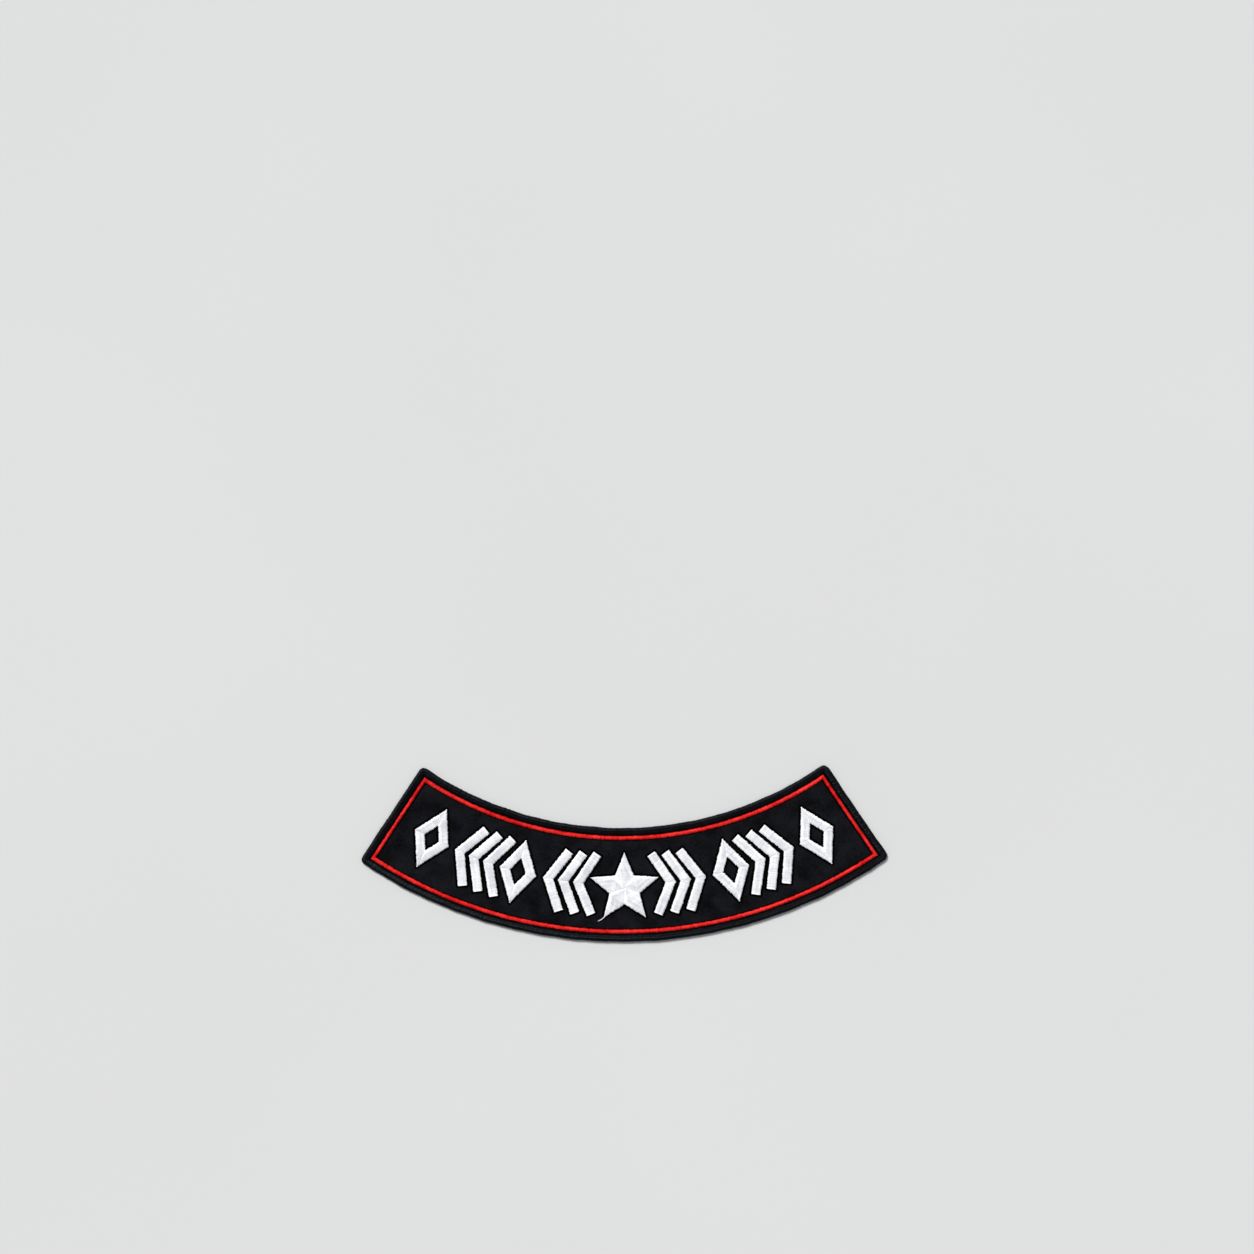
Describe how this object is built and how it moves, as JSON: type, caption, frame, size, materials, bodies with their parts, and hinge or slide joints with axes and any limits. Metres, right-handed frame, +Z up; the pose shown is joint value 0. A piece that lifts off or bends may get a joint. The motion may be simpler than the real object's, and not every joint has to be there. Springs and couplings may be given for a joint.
{
  "type": "curved embroidered patch",
  "caption": "Curved black patch, a rocker, with a thick overlocked border, a red satin stitch outline and a row of raised white star, chevron and lozenge motifs.",
  "frame": {"origin": "centre of the patch's box, on the flat surface that it lies on", "axes": "+X along the patch, +Y towards its hollow upper edge, +Z up out of its stitched face"},
  "size_m": [0.305, 0.1016, 0.0026],
  "materials": {
    "black_twill": "fine diagonal weave",
    "black_thread": "glossy wrapped thread",
    "red_thread": "satin stitch",
    "white_thread": "satin stitch"
  },
  "bodies": {
    "root": {"border": "black_thread", "chevron_left_1": "white_thread", "chevron_left_2": "white_thread", "chevron_left_3": "white_thread", "chevron_left_4": "white_thread", "chevron_left_5": "white_thread", "chevron_left_6": "white_thread", "chevron_right_1": "white_thread", "chevron_right_2": "white_thread", "chevron_right_3": "white_thread", "chevron_right_4": "white_thread", "chevron_right_5": "white_thread", "chevron_right_6": "white_thread", "lozenge_left_1": "white_thread", "lozenge_left_2": "white_thread", "lozenge_right_1": "white_thread", "lozenge_right_2": "white_thread", "outline": "red_thread", "star": "white_thread", "twill_ground": "black_twill"}
  },
  "joints": []
}
